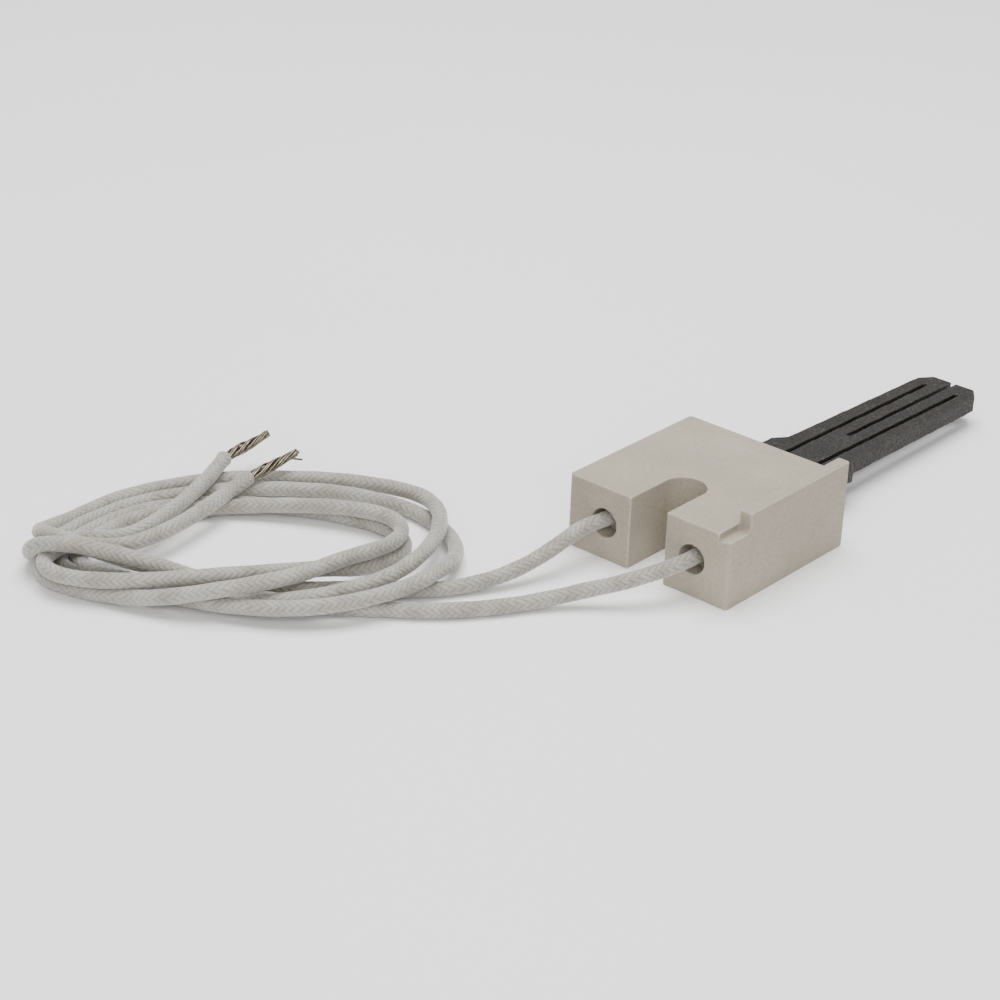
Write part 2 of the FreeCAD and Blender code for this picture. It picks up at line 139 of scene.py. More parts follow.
def pressed_ceramic_material():
    """Unglazed pressed ceramic: grainy, dark specks, paler rubbed edges."""
    material = new_material("unglazed_pressed_ceramic")
    place = add_node(material, "ShaderNodeTexCoord")
    broad = add_node(
        material,
        "ShaderNodeTexNoise",
        {"Scale": per_metre(BLOCK_TONE_WIDTH), "Detail": 5.0, "Roughness": 0.6},
        {"Vector": (place, "Object")},
    )
    grain = add_node(
        material,
        "ShaderNodeTexNoise",
        {"Scale": per_metre(BLOCK_GRAIN_WIDTH), "Detail": 3.0, "Roughness": 0.7},
        {"Vector": (place, "Object")},
    )
    specks = add_node(
        material,
        "ShaderNodeTexVoronoi",
        {"Scale": per_metre(BLOCK_SPECK_SPACING), "Randomness": 1.0},
        {"Vector": (place, "Object")},
    )
    edges = add_node(material, "ShaderNodeNewGeometry")
    base = add_node(
        material,
        "ShaderNodeValToRGB",
        {"stops": [(0.3, "#9A9284"), (0.55, "#A1988A"), (0.75, "#A8A091")]},
        {"Fac": (broad, "Fac")},
    )
    grain_tone = add_node(
        material,
        "ShaderNodeValToRGB",
        {"stops": [(0.30, "#DCD9D2"), (0.5, "#F6F4F1"), (0.72, "#FFFFFF")]},
        {"Fac": (grain, "Fac")},
    )
    grained = add_node(
        material,
        "ShaderNodeMix",
        {"data_type": "RGBA", "blend_type": "MULTIPLY", 0: 0.8},
        {6: (base, "Color"), 7: (grain_tone, "Color")},
    )
    speck_tone = add_node(
        material,
        "ShaderNodeValToRGB",
        {"stops": [(0.07, "#979084"), (0.16, "#FFFFFF")]},
        {"Fac": (specks, "Distance")},
    )
    speckled = add_node(
        material,
        "ShaderNodeMix",
        {"data_type": "RGBA", "blend_type": "MULTIPLY", 0: 0.4},
        {6: (grained, 2), 7: (speck_tone, "Color")},
    )
    rubbed = add_node(
        material,
        "ShaderNodeValToRGB",
        {"stops": [(0.52, "#000000"), (0.58, "#FFFFFF")]},
        {"Fac": (edges, "Pointiness")},
    )
    rubbed_share = add_node(
        material, "ShaderNodeMath", {"operation": "MULTIPLY", 1: 0.45}, {0: (rubbed, "Color")}
    )
    colour = add_node(
        material,
        "ShaderNodeMix",
        {"data_type": "RGBA", 7: linear("#D2CEC6")},
        {0: (rubbed_share, 0), 6: (speckled, 2)},
    )
    bump = add_node(
        material,
        "ShaderNodeBump",
        {"Strength": 0.5, "Distance": 0.06 * MM},
        {"Height": (grain, "Fac")},
    )
    shader = add_node(
        material,
        "ShaderNodeBsdfPrincipled",
        {"Roughness": 0.82, "IOR": 1.55},
        {"Base Color": (colour, 2), "Normal": (bump, "Normal")},
    )
    add_node(material, "ShaderNodeOutputMaterial", links={"Surface": (shader, "BSDF")})
    return material


pressed_ceramic = pressed_ceramic_material()
block = new_piece(
    "ceramic_body",
    worn_copy("ceramic_block", "ceramic_body", BLOCK_VOXEL, BLOCK_PIT_DEPTH, BLOCK_PIT_WIDTH),
    pressed_ceramic,
)
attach(block, "root")
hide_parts("ceramic_block")


# ------------------------------------------------------------------ silicon carbide element
# Recrystallised silicon carbide, slip-cast and sawn: a porous dark grey plate of fused grains with
# tan flecks, paler along the rubbed edges. Two slots from the root and one from the tip fold the
# current's path.
ELEMENT_VOXEL = 0.17
ELEMENT_PIT_DEPTH = 0.07
ELEMENT_PIT_WIDTH = 0.45
ELEMENT_TONE_WIDTH = 7.0

# The fused grains are 0.1 to 0.2 mm wide; they and the tan flecks are drawn coarser so that they
# show.
ELEMENT_GRAIN_WIDTH = 0.45
ELEMENT_FLECK_WIDTH = 0.38


def silicon_carbide_material():
    """Coarse fused grains: dark grey with tan flecks, small glints where grains are cleaved."""
    material = new_material("recrystallised_silicon_carbide")
    place = add_node(material, "ShaderNodeTexCoord")
    grains = add_node(
        material,
        "ShaderNodeTexVoronoi",
        {"Scale": per_metre(ELEMENT_GRAIN_WIDTH), "Randomness": 1.0},
        {"Vector": (place, "Object")},
    )
    flecks = add_node(
        material,
        "ShaderNodeTexNoise",
        {"Scale": per_metre(ELEMENT_FLECK_WIDTH), "Detail": 4.0, "Roughness": 0.75},
        {"Vector": (place, "Object")},
    )
    broad = add_node(
        material,
        "ShaderNodeTexNoise",
        {"Scale": per_metre(ELEMENT_TONE_WIDTH), "Detail": 4.0},
        {"Vector": (place, "Object")},
    )
    edges = add_node(material, "ShaderNodeNewGeometry")
    tone = add_node(
        material,
        "ShaderNodeValToRGB",
        {"stops": [(0.36, "#121110"), (0.5, "#232120"), (0.60, "#34312E"), (0.72, "#75695A")]},
        {"Fac": (flecks, "Fac")},
    )
    drift = add_node(
        material,
        "ShaderNodeValToRGB",
        {"stops": [(0.35, "#C8C4BE"), (0.7, "#FFFFFF")]},
        {"Fac": (broad, "Fac")},
    )
    shaded = add_node(
        material,
        "ShaderNodeMix",
        {"data_type": "RGBA", "blend_type": "MULTIPLY", 0: 0.7},
        {6: (tone, "Color"), 7: (drift, "Color")},
    )
    rubbed = add_node(
        material,
        "ShaderNodeValToRGB",
        {"stops": [(0.51, "#000000"), (0.60, "#FFFFFF")]},
        {"Fac": (edges, "Pointiness")},
    )
    rubbed_share = add_node(
        material, "ShaderNodeMath", {"operation": "MULTIPLY", 1: 0.3}, {0: (rubbed, "Color")}
    )
    colour = add_node(
        material,
        "ShaderNodeMix",
        {"data_type": "RGBA", 7: linear("#7A6F60")},
        {0: (rubbed_share, 0), 6: (shaded, 2)},
    )
    glint = add_node(
        material,
        "ShaderNodeMapRange",
        {"To Min": 0.75, "To Max": 0.42},
        {"Value": (grains, "Distance")},
    )
    bump = add_node(
        material,
        "ShaderNodeBump",
        {"Strength": 0.7, "Distance": 0.10 * MM},
        {"Height": (flecks, "Fac")},
    )
    shader = add_node(
        material,
        "ShaderNodeBsdfPrincipled",
        {"Specular IOR Level": 0.3},
        {"Base Color": (colour, 2), "Roughness": (glint, "Result"), "Normal": (bump, "Normal")},
    )
    add_node(material, "ShaderNodeOutputMaterial", links={"Surface": (shader, "BSDF")})
    return material


silicon_carbide = silicon_carbide_material()
element = new_piece(
    "carbide_plate",
    worn_copy("heating_element", "carbide_plate", ELEMENT_VOXEL, ELEMENT_PIT_DEPTH, ELEMENT_PIT_WIDTH),
    silicon_carbide,
)
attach(element, "root")
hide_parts("heating_element")


# ------------------------------------------------------------------ cement
# Refractory cement, poured round the element's root and pushed into both lead bores, then air
# dried: a chalky buff grey with pits and small lumps.
CEMENT_VOXEL = 0.2
CEMENT_PIT_DEPTH = 0.25
CEMENT_PIT_WIDTH = 0.8
CEMENT_LUMP_WIDTH = 0.9


def cement_material():
    """Dried refractory cement: chalky and pitted."""
    material = new_material("dried_refractory_cement")
    place = add_node(material, "ShaderNodeTexCoord")
    lumps = add_node(
        material,
        "ShaderNodeTexNoise",
        {"Scale": per_metre(CEMENT_LUMP_WIDTH), "Detail": 5.0, "Roughness": 0.7},
        {"Vector": (place, "Object")},
    )
    tone = add_node(
        material,
        "ShaderNodeValToRGB",
        {"stops": [(0.3, "#8C8575"), (0.5, "#ACA595"), (0.72, "#C2BCAE")]},
        {"Fac": (lumps, "Fac")},
    )
    bump = add_node(
        material,
        "ShaderNodeBump",
        {"Strength": 0.9, "Distance": 0.15 * MM},
        {"Height": (lumps, "Fac")},
    )
    shader = add_node(
        material,
        "ShaderNodeBsdfPrincipled",
        {"Roughness": 0.92, "IOR": 1.5},
        {"Base Color": (tone, "Color"), "Normal": (bump, "Normal")},
    )
    add_node(material, "ShaderNodeOutputMaterial", links={"Surface": (shader, "BSDF")})
    return material


refractory_cement = cement_material()
for node in ("pocket_cement", "left_bore_cement", "right_bore_cement"):
    lump = new_piece(
        f"{node}_fill",
        worn_copy(node, f"{node}_fill", CEMENT_VOXEL, CEMENT_PIT_DEPTH, CEMENT_PIT_WIDTH),
        refractory_cement,
    )
    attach(lump, "root")
    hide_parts(node)


# ------------------------------------------------------------------ contacts and conductors
# Flame-sprayed aluminium on the element's outer legs, folded nickel-steel clips crimped on the
# conductors, and the bare strands between crimp and braid. The block and its cement hide them.
SPRAYED_GRAIN = 0.4
ROLLED_GRAIN = 1.4
TARNISH_WIDTH = 1.1


def sprayed_or_rolled_metal(name, dark, light, rough_low, rough_high, grain_width):
    """Metal with a tone and gloss that vary at the scale of its grain."""
    material = new_material(name)
    place = add_node(material, "ShaderNodeTexCoord")
    grain = add_node(
        material,
        "ShaderNodeTexNoise",
        {"Scale": per_metre(grain_width), "Detail": 3.0},
        {"Vector": (place, "Object")},
    )
    tone = add_node(
        material,
        "ShaderNodeValToRGB",
        {"stops": [(0.3, dark), (0.7, light)]},
        {"Fac": (grain, "Fac")},
    )
    gloss = add_node(
        material,
        "ShaderNodeMapRange",
        {"To Min": rough_low, "To Max": rough_high},
        {"Value": (grain, "Fac")},
    )
    shader = add_node(
        material,
        "ShaderNodeBsdfPrincipled",
        {"Metallic": 1.0},
        {"Base Color": (tone, "Color"), "Roughness": (gloss, "Result")},
    )
    add_node(material, "ShaderNodeOutputMaterial", links={"Surface": (shader, "BSDF")})
    return material


def tinned_strand_material():
    """Drawn and tinned wire, dulled by handling: soft metallic shine with grey oxide."""
    material = new_material("dull_tinned_wire")
    place = add_node(material, "ShaderNodeTexCoord")
    tarnish = add_node(
        material,
        "ShaderNodeTexNoise",
        {"Scale": per_metre(TARNISH_WIDTH), "Detail": 3.0},
        {"Vector": (place, "Object")},
    )
    tone = add_node(
        material,
        "ShaderNodeValToRGB",
        {"stops": [(0.3, "#5C5648"), (0.55, "#837B6C"), (0.8, "#A9A191")]},
        {"Fac": (tarnish, "Fac")},
    )
    gloss = add_node(
        material,
        "ShaderNodeMapRange",
        {"To Min": 0.26, "To Max": 0.42},
        {"Value": (tarnish, "Fac")},
    )
    shader = add_node(
        material,
        "ShaderNodeBsdfPrincipled",
        {"Metallic": 1.0},
        {"Base Color": (tone, "Color"), "Roughness": (gloss, "Result")},
    )
    add_node(material, "ShaderNodeOutputMaterial", links={"Surface": (shader, "BSDF")})
    return material


sprayed_aluminium = sprayed_or_rolled_metal(
    "sprayed_aluminium", "#A9A9A6", "#D0D0CC", 0.55, 0.8, SPRAYED_GRAIN
)
rolled_steel = sprayed_or_rolled_metal(
    "rolled_nickel_steel", "#8F8C86", "#B8B4AC", 0.25, 0.4, ROLLED_GRAIN
)
tinned_wire = tinned_strand_material()
for side_name in ("left", "right"):
    for node, metal in (
        (f"{side_name}_contact_coating", sprayed_aluminium),
        (f"{side_name}_terminal_clip", rolled_steel),
        (f"{side_name}_root_conductor", tinned_wire),
    ):
        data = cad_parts[node].data
        data.materials.clear()
        data.materials.append(metal)


# ------------------------------------------------------------------ braided leads
# High-temperature igniter wire: stranded conductor in a glass-yarn braid that is set with a thin
# white size, so it is matt and slightly glossy on the crowns of the yarns; the grey between them is
# painted shade. Each lead leaves its bore, drops to the table and lies in a loose coil of about two
# and a third turns.
LEAD_DIAMETER = 2.6
BRAID_BANDS = 8
BRAID_STEP = 1.25
BRAID_RELIEF = 0.075
BAND_FLATNESS = 0.6
FLOAT_DIP = 0.45
SLEEVE_SIDES = 44
SLEEVE_RING = 0.22
UV_LENGTH = 10.0
SOIL_WIDTH = 4.8

# The broken fibres are about 0.01 mm thick and the yarns 0.1 mm; they are drawn as coarse as they
# need to be to show, the fibres as tufts.
FUZZ_WIDTH = 0.38
YARNS_PER_BAND = 5

LEFT_EXIT = [
    (-8.1, 2.1, 6.40),
    (-9.0, -3.6, 6.45),
    (-10.1, -9.2, 6.45),
    (-11.0, -13.0, 6.10),
    (-11.2, -17.4, 5.10),
    (-11.8, -21.2, 4.00),
    (-12.8, -25.2, 2.90),
    (-14.4, -29.4, 2.00),
    (-16.4, -33.4, 1.45),
    (-18.4, -37.0, 1.35),
    (-20.5, -39.9, 1.35),
]
RIGHT_EXIT = [
    (8.1, 2.1, 6.40),
    (8.7, -3.6, 6.50),
    (8.9, -9.0, 6.50),
    (8.2, -12.6, 6.25),
    (6.2, -16.4, 5.40),
    (3.2, -20.2, 4.10),
    (-0.2, -23.6, 3.00),
    (-3.4, -27.4, 1.90),
    (-6.2, -31.8, 1.40),
    (-9.6, -37.4, 1.35),
    (-14.2, -43.2, 1.35),
    (-19.4, -47.8, 1.35),
]

# Each turn of the coil, clockwise from above: angle round the coil in degrees, reach from its
# middle and height of the lead's middle above the table, in mm. The oval is 0.7 as deep as wide.
COIL_MIDDLE = Vector((-50.87, -51.46, 0.0))
COIL_AZIMUTH = math.radians(40.5)
COIL_SQUASH = 0.70
LEFT_TURNS = [
    (42, 25.0, 1.6), (66, 19.5, 1.35), (90, 17.5, 1.5), (114, 18.5, 3.0),
    (134, 22.0, 4.4), (147, 26.0, 5.7), (157, 29.2, 6.7), (164, 31.6, 6.5),
    (172, 32.3, 5.2), (181, 32.3, 3.8), (191, 32.0, 2.4), (205, 31.8, 1.35),
    (230, 34.0, 1.6), (260, 38.5, 1.6), (290, 41.5, 1.8), (312, 41.5, 2.7),
    (330, 37.0, 4.1), (346, 33.5, 4.1), (363, 31.0, 4.0), (382, 30.0, 4.0),
    (402, 31.0, 4.3), (426, 31.0, 3.8), (450, 26.0, 1.6), (474, 21.5, 1.35),
    (494, 22.3, 1.4), (507, 25.0, 1.35), (518, 26.5, 1.4), (528, 26.5, 1.35),
    (538, 25.3, 1.4), (550, 24.0, 1.6), (567, 23.3, 1.75), (590, 23.0, 1.75),
    (620, 21.8, 1.8), (650, 21.6, 3.0), (672, 24.0, 3.8), (690, 27.5, 4.1),
    (706, 27.5, 4.0), (723, 25.0, 4.2), (742, 22.0, 4.9), (762, 22.5, 5.9),
    (786, 26.5, 6.3), (810, 30.0, 5.7), (832, 30.5, 2.8), (851, 31.0, 1.4),
    (864, 33.0, 1.35), (872, 33.9, 1.4), (880, 33.1, 2.0), (888, 30.7, 3.4),
    (892, 27.3, 4.1),
]
RIGHT_TURNS = [
    (66, 27.5, 1.35), (90, 21.5, 2.2), (114, 21.5, 4.9), (134, 25.0, 6.7),
    (147, 29.8, 7.5), (154, 32.9, 6.9), (160, 34.4, 5.1), (166, 34.2, 2.7),
    (173, 33.0, 1.5), (182, 31.1, 1.35), (192, 29.6, 1.35), (205, 29.0, 1.35),
    (230, 30.2, 1.4), (260, 32.2, 1.6), (290, 35.5, 1.6), (312, 37.0, 1.4),
    (330, 36.5, 1.35), (346, 36.0, 1.4), (363, 35.5, 2.5), (382, 35.5, 4.0),
    (402, 36.0, 4.2), (426, 35.0, 3.5), (450, 30.0, 2.6), (474, 25.0, 1.8),
    (494, 26.5, 1.35), (507, 28.5, 1.4), (517, 29.5, 1.35), (526, 29.4, 1.35),
    (535, 28.4, 1.4), (547, 27.2, 1.35), (565, 26.2, 1.35), (590, 26.6, 1.35),
    (620, 25.6, 1.4), (650, 24.8, 1.35), (672, 26.0, 1.35), (690, 28.0, 1.35),
    (706, 28.0, 1.4), (723, 25.5, 1.35), (742, 22.0, 2.0), (762, 20.0, 3.8),
    (786, 21.0, 5.3), (810, 23.5, 5.8), (834, 27.0, 4.9), (849, 31.0, 4.1),
    (859, 34.3, 4.0), (867, 34.9, 4.0), (875, 33.2, 4.0), (881.5, 30.3, 4.1),
    (885, 27.0, 4.2),
]
LEFT_TAIL = [
    (-66.2, -68.3, 4.2),
    (-63.8, -64.8, 4.2),
    (-63.7, -59.8, 4.2),
    (-64.9, -54.5, 4.2),
    (-67.1, -47.7, 4.2),
    (-69.3, -42.0, 4.2),
    (-71.7, -37.2, 4.2),
    (-73.7, -33.5, 4.2),
]
RIGHT_TAIL = [
    (-63.6, -69.3, 4.2),
    (-61.1, -66.2, 4.2),
    (-60.5, -61.5, 4.2),
    (-60.7, -56.0, 4.2),
    (-61.9, -49.2, 4.2),
    (-63.7, -41.9, 4.2),
    (-65.3, -35.9, 4.2),
]


def coil_points(stations):
    """Points of a lead's turns, from the angle, reach and height of each station."""
    points = []
    for angle, reach, height in stations:
        turned = -math.radians(angle)
        along = reach * math.cos(turned)
        across = reach * math.sin(turned) * COIL_SQUASH
        flat = Matrix.Rotation(COIL_AZIMUTH, 3, "Z") @ Vector((along, across, 0.0))
        points.append(COIL_MIDDLE + flat + Vector((0.0, 0.0, height)))
    return points


def route_line(name, points):
    """Smooth line of a lead: one open NURBS spline over its route, read back as close points."""
    curve = bpy.data.curves.new(name, "CURVE")
    curve.dimensions = "3D"
    spline = curve.splines.new("NURBS")
    spline.points.add(len(points) - 1)
    for place, point in zip(spline.points, points):
        place.co = (*(Vector(point) * MM), 1.0)
    spline.order_u = 3
    spline.use_endpoint_u = True
    spline.resolution_u = 24
    holder = bpy.data.objects.new(name, curve)
    bpy.context.scene.collection.objects.link(holder)
    bpy.context.view_layer.update()
    line = bpy.data.meshes.new_from_object(holder)
    places = [v.co.copy() for v in line.vertices]
    bpy.data.meshes.remove(line)
    bpy.data.objects.remove(holder)
    bpy.data.curves.remove(curve)
    return places


def even_points(line, step):
    """Points at even distances along a line."""
    distances = [0.0]
    for here, there in zip(line, line[1:]):
        distances.append(distances[-1] + (there - here).length)
    count = round(distances[-1] / step)
    points = []
    index = 0
    for i in range(count + 1):
        wanted = distances[-1] * i / count
        while index < len(line) - 2 and distances[index + 1] < wanted:
            index += 1
        gap = distances[index + 1] - distances[index]
        points.append(line[index].lerp(line[index + 1], (wanted - distances[index]) / gap))
    return points, distances[-1]


def carried_frames(points):
    """Two cross directions at each point, carried along the line without twist."""
    headings = []
    for i in range(len(points)):
        before = points[max(i - 1, 0)]
        after = points[min(i + 1, len(points) - 1)]
        headings.append((after - before).normalized())
    side = headings[0].orthogonal().normalized()
    frames = []
    for heading in headings:
        side = (side - heading * side.dot(heading)).normalized()
        frames.append((side, heading.cross(side)))
    return frames


# Slow unevenness along a sleeve, as (amount, radians per mm, start) of each wave: its thickness,
# the stretch of its weave and the weave's slip round the wire. The relief grows and fades at two
# rates, where the braid was pulled tight or pushed together.
THICKNESS_WAVES = [(0.018, 0.9, 0.0), (0.012, 0.37, 1.0)]
STRETCH_WAVES = [(0.30, 0.71, 0.0), (0.22, 0.23, 1.0)]
SLIP_WAVES = [(0.05, 0.13, 0.0), (0.015, 0.9, 0.0)]
RELIEF_CHANGE = 0.25
RELIEF_RATES = (0.31, 0.083)

# The cut end: it flares over its last stretch and closes in steps of (share of the radius, how
# far it stands out in mm), ragged by the yarns.
FLARE_LENGTH = 1.2
FLARE = 0.09
CUT_STEPS = [(0.93, 0.16), (0.80, 0.20), (0.62, 0.08), (0.50, -0.25)]
CUT_RAGGED = 0.05
CUT_RAGGED_RATE = 2.7


def waves(along, parts):
    """Sum of the waves at a distance along the lead."""
    return sum(amount * math.sin(along * rate + start) for amount, rate, start in parts)


def around_point(point, cross, turn, radius):
    """The place at this radius and turn round a point, on its two cross directions."""
    side, over = cross
    return point + (side * math.cos(turn) + over * math.sin(turn)) * radius * MM


def braid_height(around, along):
    """Relief of the two-over-two braid, 0 between the bands and 1 on their crowns."""
    band_a = around * BRAID_BANDS + along / BRAID_STEP
    band_b = around * BRAID_BANDS - along / BRAID_STEP
    cell_a = math.floor(band_a)
    cell_b = math.floor(band_b)
    over_a = (cell_a + cell_b) % 4 < 2
    across = band_a - cell_a if over_a else band_b - cell_b
    float_run = ((cell_a + cell_b) % 2 + (band_b - cell_b if over_a else band_a - cell_a)) / 2
    crown = math.sin(math.pi * across) ** BAND_FLATNESS
    return crown * (1 - FLOAT_DIP + FLOAT_DIP * math.sin(math.pi * float_run))


def sleeve_mesh(name, line):
    """Braided tube round the line, closed at both ends, with its uneven stretches and cut end."""
    points, length = even_points(line, SLEEVE_RING * MM)
    frames = carried_frames(points)
    mesh = bpy.data.meshes.new(name)
    build = bmesh.new()
    layer = build.loops.layers.uv.new("braid")
    rings = []
    weave = []
    for i, (point, cross) in enumerate(zip(points, frames)):
        along = length / MM * i / (len(points) - 1)
        to_end = length / MM - along
        swell = 1.0 + waves(along, THICKNESS_WAVES) + FLARE * max(1 - to_end / FLARE_LENGTH, 0.0)
        evenness = math.sin(along * RELIEF_RATES[0]) * math.sin(along * RELIEF_RATES[1] + 2.0)
        relief = BRAID_RELIEF * (1 - RELIEF_CHANGE + RELIEF_CHANGE * evenness)
        woven = along + waves(along, STRETCH_WAVES)
        slip = waves(along, SLIP_WAVES)
        weave.append((slip, woven))
        ring = []
        for j in range(SLEEVE_SIDES):
            around = j / SLEEVE_SIDES
            radius = LEAD_DIAMETER / 2 * swell - relief * (1 - braid_height(around + slip, woven))
            ring.append(build.verts.new(around_point(point, cross, 2 * math.pi * around, radius)))
        rings.append(ring)
    for i in range(len(rings) - 1):
        for j in range(SLEEVE_SIDES):
            k = (j + 1) % SLEEVE_SIDES
            face = build.faces.new((rings[i][j], rings[i][k], rings[i + 1][k], rings[i + 1][j]))
            corners = ((j, i), (j + 1, i), (j + 1, i + 1), (j, i + 1))
            for loop, (step, station) in zip(face.loops, corners):
                slip, woven = weave[station]
                loop[layer].uv = (step / SLEEVE_SIDES + slip, woven / UV_LENGTH)
    for ring, point, outward, cross in (
        (rings[0], points[0], points[0] - points[1], frames[0]),
        (rings[-1], points[-1], points[-1] - points[-2], frames[-1]),
    ):
        outward = outward.normalized()
        previous = ring
        for share, lift in CUT_STEPS:
            inner = []
            for j in range(SLEEVE_SIDES):
                turn = 2 * math.pi * j / SLEEVE_SIDES
                ragged = CUT_RAGGED * math.sin(j * CUT_RAGGED_RATE) * share
                place = around_point(point, cross, turn, LEAD_DIAMETER / 2 * share)
                inner.append(build.verts.new(place + outward * (lift + ragged) * MM))
            for j in range(SLEEVE_SIDES):
                k = (j + 1) % SLEEVE_SIDES
                build.faces.new((previous[j], previous[k], inner[k], inner[j]))
            previous = inner
        build.faces.new(previous)
    bmesh.ops.recalc_face_normals(build, faces=build.faces)
    build.to_mesh(mesh)
    build.free()
    return mesh


def glass_braid_material():
    """Woven glass yarn, sized white: matt, soft sheen, fine yarn lines along each band, with painted shade
    darkening the colour between the bands.
    """
    material = new_material("glass_yarn_braid")
    place = add_node(material, "ShaderNodeUVMap", {"uv_map": "braid"})
    split = add_node(material, "ShaderNodeSeparateXYZ", links={"Vector": (place, "UV")})
    around = add_node(
        material, "ShaderNodeMath", {"operation": "MULTIPLY", 1: float(BRAID_BANDS)}, {0: (split, "X")}
    )
    along = add_node(
        material, "ShaderNodeMath", {"operation": "MULTIPLY", 1: UV_LENGTH / BRAID_STEP}, {0: (split, "Y")}
    )
    bands = []
    for operation in ("ADD", "SUBTRACT"):
        bands.append(add_node(
            material, "ShaderNodeMath", {"operation": operation}, {0: (around, 0), 1: (along, 0)}
        ))
    cells = [
        add_node(material, "ShaderNodeMath", {"operation": "FLOOR"}, {0: (band, 0)}) for band in bands
    ]
    fractions = [
        add_node(material, "ShaderNodeMath", {"operation": "FRACT"}, {0: (band, 0)}) for band in bands
    ]
    total = add_node(
        material, "ShaderNodeMath", {"operation": "ADD"}, {0: (cells[0], 0), 1: (cells[1], 0)}
    )
    wrapped = add_node(
        material, "ShaderNodeMath", {"operation": "FLOORED_MODULO", 1: 4.0}, {0: (total, 0)}
    )
    a_on_top = add_node(
        material, "ShaderNodeMath", {"operation": "LESS_THAN", 1: 1.5}, {0: (wrapped, 0)}
    )
    across = add_node(
        material,
        "ShaderNodeMix",
        {"data_type": "FLOAT"},
        {0: (a_on_top, 0), 2: (fractions[1], 0), 3: (fractions[0], 0)},
    )
    shape = add_node(
        material, "ShaderNodeMath", {"operation": "MULTIPLY", 1: math.pi}, {0: (across, 0)}
    )
    crown = add_node(material, "ShaderNodeMath", {"operation": "SINE"}, {0: (shape, 0)})
    yarn_turn = add_node(
        material,
        "ShaderNodeMath",
        {"operation": "MULTIPLY", 1: 2 * math.pi * YARNS_PER_BAND},
        {0: (across, 0)},
    )
    yarn = add_node(material, "ShaderNodeMath", {"operation": "SINE"}, {0: (yarn_turn, 0)})
    world = add_node(material, "ShaderNodeTexCoord")
    soil = add_node(
        material,
        "ShaderNodeTexNoise",
        {"Scale": per_metre(SOIL_WIDTH), "Detail": 5.0, "Roughness": 0.65},
        {"Vector": (world, "Object")},
    )
    fuzz = add_node(
        material,
        "ShaderNodeTexNoise",
        {"Scale": per_metre(FUZZ_WIDTH), "Detail": 2.0},
        {"Vector": (world, "Object")},
    )
    # Painted shade: the colour darkens from the crowns of the bands into the grooves between them, where
    # shade falls.
    tone = add_node(
        material,
        "ShaderNodeValToRGB",
        {"stops": [(0.0, "#86817A"), (0.4, "#99958D"), (1.0, "#A7A49D")]},
        {"Fac": (crown, 0)},
    )
    stain = add_node(
        material,
        "ShaderNodeValToRGB",
        {"stops": [(0.34, "#C2BBAC"), (0.60, "#FFFFFF")]},
        {"Fac": (soil, "Fac")},
    )
    colour = add_node(
        material,
        "ShaderNodeMix",
        {"data_type": "RGBA", "blend_type": "MULTIPLY", 0: 0.6},
        {6: (tone, "Color"), 7: (stain, "Color")},
    )
    yarn_share = add_node(
        material, "ShaderNodeMath", {"operation": "MULTIPLY_ADD", 1: 0.12, 2: 0.0}, {0: (yarn, 0)}
    )
    height = add_node(
        material, "ShaderNodeMath", {"operation": "ADD"}, {0: (crown, 0), 1: (yarn_share, 0)}
    )
    rough_height = add_node(
        material,
        "ShaderNodeMath",
        {"operation": "MULTIPLY_ADD", 1: 0.35},
        {0: (fuzz, "Fac"), 2: (height, 0)},
    )
    bump = add_node(
        material,
        "ShaderNodeBump",
        {"Strength": 0.5, "Distance": 0.10 * MM},
        {"Height": (rough_height, 0)},
    )
    shader = add_node(
        material,
        "ShaderNodeBsdfPrincipled",
        {"Roughness": 0.78, "IOR": 1.55, "Sheen Weight": 0.55, "Sheen Roughness": 0.4},
        {"Base Color": (colour, 2), "Normal": (bump, "Normal")},
    )
    add_node(material, "ShaderNodeOutputMaterial", links={"Surface": (shader, "BSDF")})
    return material


glass_braid = glass_braid_material()
left_line = route_line("left_route", LEFT_EXIT + coil_points(LEFT_TURNS) + LEFT_TAIL)
left_sleeve = new_piece("left_sleeve", sleeve_mesh("left_sleeve", left_line), glass_braid)
right_line = route_line("right_route", RIGHT_EXIT + coil_points(RIGHT_TURNS) + RIGHT_TAIL)
right_sleeve = new_piece("right_sleeve", sleeve_mesh("right_sleeve", right_line), glass_braid)

for sleeve in (left_sleeve, right_sleeve):
    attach(sleeve, "root")
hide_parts("left_lead", "left_lead_tail", "lead_coil")
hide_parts("right_lead", "right_lead_tail")


# ------------------------------------------------------------------ stripped ends
# Tinned copper strands laid in a left-hand twist, bared by cutting the braid back about 10 mm.
# They have opened a little in the middle and dulled, and one strand of the right end is bent out.
STRAND_RADIUS = 0.175
STRAND_LAY = 13.5
STRAND_SIDES = 8
STRAND_RING = 0.2
INNER_STRANDS = 5
INNER_REACH = 0.33
OUTER_STRANDS = 9
OUTER_REACH = 0.68
OUTER_UNEVEN = 0.22
CUT_SHORT_RINGS = 2
STRAND_WANDER = 0.03
BUNDLE_TIGHT = 0.74
BUNDLE_OPEN = 0.46
STRAY_STRAND = 9
STRAY_START = 0.78
STRAY_BEND = Vector((0.9, 0.3, -0.9))
LEFT_TIP = [(-73.9, -30.0, 4.55), (-73.4, -26.4, 5.15), (-73.3, -23.3, 5.8)]
RIGHT_TIP = [(-65.1, -32.4, 4.55), (-64.7, -28.6, 5.15), (-64.4, -24.9, 5.8)]


def strand_layout():
    """Each strand's reach from the bundle's middle, its turn, and how many rings short it is cut."""
    layout = [(0.0, 0.0, 0)]
    layout += [(INNER_REACH, 2 * math.pi * i / INNER_STRANDS, 0) for i in range(INNER_STRANDS)]
    for i in range(OUTER_STRANDS):
        turn = 2 * math.pi * (i + OUTER_UNEVEN * math.sin(i * 2.6)) / OUTER_STRANDS
        layout.append((OUTER_REACH, turn, round(CUT_SHORT_RINGS * abs(math.sin(i * 2.1)))))
    return layout


